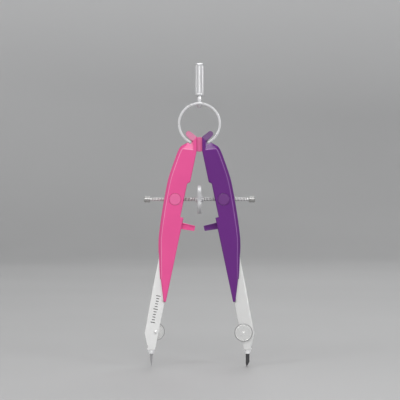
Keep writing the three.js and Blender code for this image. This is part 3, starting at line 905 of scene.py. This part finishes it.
# ---- spindle and wheel --------------------------------------------------------------
def threaded_spindle():
    """Rod with a left hand thread on one half and a right hand thread on the other. A section is
    (x, radius), without a radius along the threads."""
    bm = bmesh.new()
    pitch, crest, root = 0.8, 1.06, 0.8
    sides, steps_per_pitch = 28, 6
    start, end = 2.6, 26
    step = pitch / steps_per_pitch
    count = round((end - start) / step)
    half = [(2.4, 0.9)] + [(start + i * step, None) for i in range(count + 1)]
    half += [(26.3, 0.85), (26.35, 0.7), (28.6, 0.7), (28.7, 0.62)]
    sections = [(-x, radius) for x, radius in reversed(half)] + half
    rows = []
    for x, radius in sections:
        row = []
        for k in range(sides):
            share = k / sides
            if radius is None:
                hand = -1 if x < 0 else 1
                phase = (x / pitch + hand * share) % 1
                r = root + (crest - root) * min(1, 1.25 * (1 - abs(2 * phase - 1)))
            else:
                r = radius
            angle = 2 * math.pi * share
            row.append((x, r * math.cos(angle), r * math.sin(angle)))
        rows.append(row)
    grid_surface(bm, rows, caps=True)
    # The faces in the thread roots take the second material: painted shade.
    shade_r = 0.9
    second_tone(bm, lambda centre: centre.yz.length < shade_r and start < abs(centre.x) < end)
    spindle = from_bmesh("threaded_spindle", bm, Matrix.Translation((0, 0, SPINDLE_Z)), sharp=50)
    finish(spindle, MATERIALS["thread_crest_painted_light"], "spindle", "satin_nickel", "threaded_spindle")
    spindle.data.materials.append(MATERIALS["thread_root_painted_shade"])


def adjusting_wheel():
    """Wheel with a hub, a thin web and a knurled rim."""
    r, half, web, teeth = 7.7, 1.05, 0.72, 80
    outer = [(r - 0.16, -half + 0.02), (r - 0.02, -half + 0.16), (r - 0.02, half - 0.16),
             (r - 0.16, half - 0.02)]
    face = [(1.25, -1.85), (1.35, -1.9), (1.5, -1.9), (1.6, -1.8), (1.62, -1.1), (1.8, -web - 0.08),
            (2.2, -web), (5.9, -web), (6.25, -web - 0.06), (6.5, -half + 0.12), (6.65, -half),
            (r - 0.25, -half)]
    back = [(a, -b) for a, b in reversed(face)]
    profile = face + outer + back
    knurled = {len(face) + 1, len(face) + 2}
    bm = turned(profile, teeth * 4, knurling(knurled, teeth, 0.1))
    bm.transform(Matrix.Translation((0, 0, SPINDLE_Z)) @ Matrix.Rotation(math.pi / 2, 4, "Y"))
    wheel = from_bmesh("adjusting_wheel", bm, sharp=28)
    finish(wheel, MATERIALS["wheel_chrome"], "spindle", "bright_chrome", "adjusting_wheel")


def end_cap(name, side):
    """Round nut at the spindle's end, open on the inside, with a groove round it."""
    label = f"{name}_end_cap"
    profile = [(0, 29.2), (0.95, 29.2), (0.95, 26.65), (1.05, 26.6), *rounded(
        [(1.5, 26.6), (1.7, 26.85), (1.7, 27.8), (1.6, 27.9), (1.6, 28.5), (1.7, 28.6), (1.7, 29.7),
         (1.4, 30), (0, 30)], 0.08)[1:]]
    bm = turned(profile, 64)
    bm.transform(Matrix.Translation((0, 0, SPINDLE_Z)) @ Matrix.Rotation(side * math.pi / 2, 4, "Y"))
    cap = from_bmesh(label, bm)
    body = "spindle_carriage" if side < 0 else "spindle"
    finish(cap, MATERIALS["satin_turned"], body, "satin_nickel", label)


# ---- points -------------------------------------------------------------------------
def needle():
    """Needle with a tapered point below a shoulder."""
    profile = [(0, 0), (0.05, 0.03), (0.24, 1.5), (0.42, 3), (0.58, 4.6), (0.7, 6), (0.76, 6.6),
               (0.95, 6.85), (1, 7), (1, 23.3), (0.7, 23.7), (0, 23.7)]
    piece = from_bmesh("needle", turned(profile, 48), Matrix.Translation((-TIP_X, 0, 0)))
    finish(piece, MATERIALS["needle_steel"], "needle", "tool_steel", "needle")


def lead():
    """A 2 mm lead whose outer side is ground to a slant."""
    levels = [0.0] + [0.25 * i for i in range(1, 20)] + [8, 14, 20, 23.5]
    profile = [(0, 0)] + [(1, z) for z in levels] + [(0.85, 23.7), (0, 23.7)]
    bm = turned(profile, 64)
    for through, normal in (((-0.5, 0, 0), (0.88, 0, -0.475)), ((-0.5, 0, 0), (-0.96, 0, -0.28))):
        bmesh.ops.bisect_plane(
            bm, geom=[*bm.verts, *bm.edges, *bm.faces], plane_co=through, plane_no=normal,
            clear_outer=True)
        edges = [e for e in bm.edges if len(e.link_faces) == 1]
        bmesh.ops.contextual_create(bm, geom=edges)
    piece = from_bmesh("lead", bm, Matrix.Translation((TIP_X, 0, 0)))
    finish(piece, MATERIALS["graphite"], "lead", "graphite", "lead")


def collar(name, side):
    """Tapered ferrule under the bar, with a rounded shoulder and a bright lip."""
    profile = [(1.04, 7.15), (1.08, 7.05), (1.2, 7.05), (1.5, 7.75), (1.72, 8.25), (1.8, 8.45),
               (1.83, 8.75), (1.83, 9.0), (1.75, 9.13), (1.1, 9.13), (1.04, 9.05)]
    piece = from_bmesh(f"{name}_collar", turned(profile, 64),
                       Matrix.Translation((side * TIP_X, 0, 0)))
    body = "left_leg" if side < 0 else "right_leg"
    finish(piece, MATERIALS["ferrule"], body, "bright_chrome", f"{name}_collar")


# ---- handle and ring spring ---------------------------------------------------------
def handle_grip():
    """Fluted round grip, hollow from below for the stud."""
    r, low, high = 2.6, 146.3, 163.7
    flutes, smooth_end = 40, 0.9
    body = [(r - 0.02, low + smooth_end), (r - 0.05, low + smooth_end + 0.25)]
    body += [(r - 0.02, low + 1.4 + i * 1.8) for i in range(9)]
    body += [(r - 0.05, high - smooth_end - 0.25), (r - 0.02, high - smooth_end)]
    foot = [(1.4, 158.5), (1.4, low + 0.2), (1.5, low), (r - 0.35, low), (r - 0.08, low + 0.12),
            (r, low + 0.4)]
    top = [(r, high - 0.45), (r - 0.1, high - 0.15), (r - 0.4, high), (0, high)]
    profile = [(0, 158.5), *foot, *body, *top]
    fluted = range(1 + len(foot) + 1, 1 + len(foot) + len(body) - 1)
    bm = turned(profile, flutes * 6, knurling(fluted, flutes, 0.045))
    piece = from_bmesh("handle_grip", bm, sharp=30)
    finish(piece, MATERIALS["bright_chrome"], "handle", "bright_chrome", "handle_grip")


def handle_stud():
    """Stud with a domed head inside the ring, a collar on the ring and a shaft up the grip."""
    top = RING_Z + RING_R
    profile = [(0, top - 2.4), (0.45, top - 2.35), (0.95, top - 2.05), (1.3, top - 1.6),
               (1.48, top - 1.15), (1.5, top - 0.85), (1.42, top - 0.7), (1.0, top - 0.68),
               (1.0, top + 0.68), (1.2, top + 0.68), (1.3, top + 0.85), (1.3, 145.7), (1.2, 145.9),
               (1.05, 146), (1.05, 158), (0, 158)]
    piece = from_bmesh("handle_stud", turned(profile, 64))
    finish(piece, MATERIALS["ring_chrome"], "handle", "satin_nickel", "handle_stud")


def ring_half(name, side):
    """Half of the spring band, from the stud at the top to its seat in the leg's head. It is
    widest round the stud."""
    bm = bmesh.new()
    steps, corner_steps = 72, 3
    thick, wide, swell, corner = 0.62, 3.0, 0.45, 0.16
    centre = Vector((0, 0, RING_Z))
    rows = []
    for i in range(steps + 1):
        angle = (math.pi - RING_END) * i / steps
        radial = Vector((side * math.sin(angle), 0, math.cos(angle)))
        half = wide + swell * math.exp(-(angle / 0.35) ** 2)
        row = []
        for quarter, sign_r, sign_y in ((0, 1, 1), (3, 1, -1), (2, -1, -1), (1, -1, 1)):
            at = Vector((sign_r * (thick - corner), sign_y * (half - corner)))
            for k in range(corner_steps, -1, -1):
                a = (quarter + k / corner_steps) * math.pi / 2
                p = at + Vector((math.cos(a), math.sin(a))) * corner
                row.append(centre + radial * (RING_R + p.x) + Vector((0, p.y, 0)))
        rows.append(row)
    grid_surface(bm, rows, caps=True)
    label = f"{name}_ring_half"
    ring = from_bmesh(label, bm, smooth=False)
    stud_hole = turned([(0, 138), (BORE_R, 138), (BORE_R, 145), (0, 145)], 48)
    boolean(ring, [tool(stud_hole)])
    crisp(ring, 40)
    ring.data.materials.append(MATERIALS["ring_chrome"])
    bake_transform(ring)
    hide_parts("bow_spring")


def hinge_disc():
    """The disc between the heads, on which both legs turn."""
    r, half = HINGE_DISC_R, HINGE_DISC_HALF
    profile = rounded([(0, -half), (r, -half), (r, half), (0, half)], 0.2)
    bm = turned(profile, 96)
    bm.transform(Matrix.Translation((0, 0, FULCRUM_Z)) @ Matrix.Rotation(-math.pi / 2, 4, "X"))
    disc = from_bmesh("hinge_disc", bm)
    finish(disc, MATERIALS["pink_button"], "handle", "pink_plastic", "hinge_disc")


# ---- the whole compass --------------------------------------------------------------
for name, side in SIDES.items():
    leg_shell(name, side, front=True)
    leg_shell(name, side, front=False)
    leg_bar(name, side)
    inner_pin(f"{name}_bar_pin", name, side, BAR_PIN_R, BAR_PIN_AT)
    inner_pin(f"{name}_lever_pin", name, side, LEVER_PIN_R, LEVER_PIN_AT)
    release_lever(name, side)
    lever_spring(name, side)
    trunnion(name, side)
    half_nut(name, side)
    clamp_screw(name, side)
    end_cap(name, side)
    ring_half(name, side)
    for at in SHELL_SCREWS:
        shell_screw(name, side, at)
bar_marks()
threaded_spindle()
adjusting_wheel()
needle()
lead()
collar("needle", -1)
collar("lead", 1)
handle_grip()
handle_stud()
hinge_disc()


# ---- studio -------------------------------------------------------------------------
def stage_material():
    """Plain grey paper, painted paler up the wall: painted light standing in for the light the wall
    lacks.
    """
    n = Nodes("studio_floor")
    height = n.add("ShaderNodeSeparateXYZ")
    n.link(n.coords, height.inputs["Vector"])
    paper = n.mix(n.ramp(n.noise(3, 2), 0, 1), (0.43, 0.43, 0.43), (0.45, 0.45, 0.45))
    painted_light_height = 0.5
    # Painted light: the paper pales to the wall's grey over this height.
    wall = n.ramp(height.outputs["Z"], 0, 1, 0, painted_light_height)
    n.link(n.mix(wall, paper, (0.84, 0.84, 0.84)), n.shader.inputs["Base Color"])
    n.shader.inputs["Roughness"].default_value = 0.7
    return n.material


def studio_bowl():
    """A pale floor that curves up into a round wall, open at the top."""
    floor_r, curve, height, sides = 1.6, 1.0, 2.2, 96
    floor_rings, curve_rings = 6, 16
    profile = [(floor_r * i / floor_rings, 0.0) for i in range(1, floor_rings + 1)]
    for i in range(1, curve_rings + 1):
        a = math.pi / 2 * i / curve_rings
        profile.append((floor_r + curve * math.sin(a), curve * (1 - math.cos(a))))
    profile.append((floor_r + curve, height))
    turns = [2 * math.pi * i / sides for i in range(sides)]
    bm = bmesh.new()
    rows = [[(r * math.cos(a), r * math.sin(a), z) for a in turns] for r, z in profile]
    made = grid_surface(bm, rows)
    centre = bm.verts.new((0, 0, 0))
    for i in range(sides):
        bm.faces.new((made[0][i], centre, made[0][(i + 1) % sides]))
    mesh = bpy.data.meshes.new("studio_floor")
    bmesh.ops.recalc_face_normals(bm, faces=bm.faces)
    bm.to_mesh(mesh)
    bm.free()
    for polygon in mesh.polygons:
        polygon.use_smooth = True
    mesh.materials.append(stage_material())
    bowl = bpy.data.objects.new("studio_floor", mesh)
    bpy.context.scene.collection.objects.link(bowl)


def area_light(name, location, size, power, target=(0, 0, 0.09)):
    light = bpy.data.lights.new(name, "AREA")
    light.shape = "RECTANGLE"
    light.size, light.size_y = size
    light.energy = power
    obj = bpy.data.objects.new(name, light)
    obj.location = location
    obj.rotation_euler = (Vector(target) - Vector(location)).to_track_quat("-Z", "Y").to_euler()
    bpy.context.scene.collection.objects.link(obj)


def studio():
    studio_bowl()
    area_light("key", (-1.0, -1.4, 1.3), (0.9, 0.9), 7.5)
    area_light("fill", (1.35, -1.2, 0.9), (0.6, 0.9), 5.5)
    area_light("front_left", (-1.15, -1.45, 0.6), (0.25, 1.1), 3.6)
    area_light("front_right", (1.15, -1.45, 0.6), (0.25, 1.1), 4.5)
    area_light("front_top", (0, -1.4, 1.0), (0.9, 0.35), 9)
    area_light("top", (0, 0.1, 1.9), (1.2, 1.2), 9.5)
    area_light("back", (0.4, 1.5, 1.2), (1.2, 0.8), 8)
    world = bpy.data.worlds.new("studio")
    bpy.context.scene.world = world
    world.use_nodes = True
    background = world.node_tree.nodes["Background"]
    background.inputs["Color"].default_value = (0.9, 0.92, 0.95, 1)
    background.inputs["Strength"].default_value = 0.22
    bpy.context.scene.view_settings.view_transform = "Standard"


def camera():
    """Looks straight at the front, as wide as frame_width at the compass."""
    distance, frame_width, sensor = 0.9, 0.216, 36
    data = bpy.data.cameras.new("camera")
    data.sensor_width = sensor
    data.lens = sensor * distance / frame_width
    data.clip_start = 0.01
    obj = bpy.data.objects.new("camera", data)
    obj.location = (0.0003, -distance, 0.09)
    obj.rotation_euler = (math.pi / 2, 0, 0)
    bpy.context.scene.collection.objects.link(obj)
    bpy.context.scene.camera = obj


studio()
camera()
bpy.context.view_layer.update()
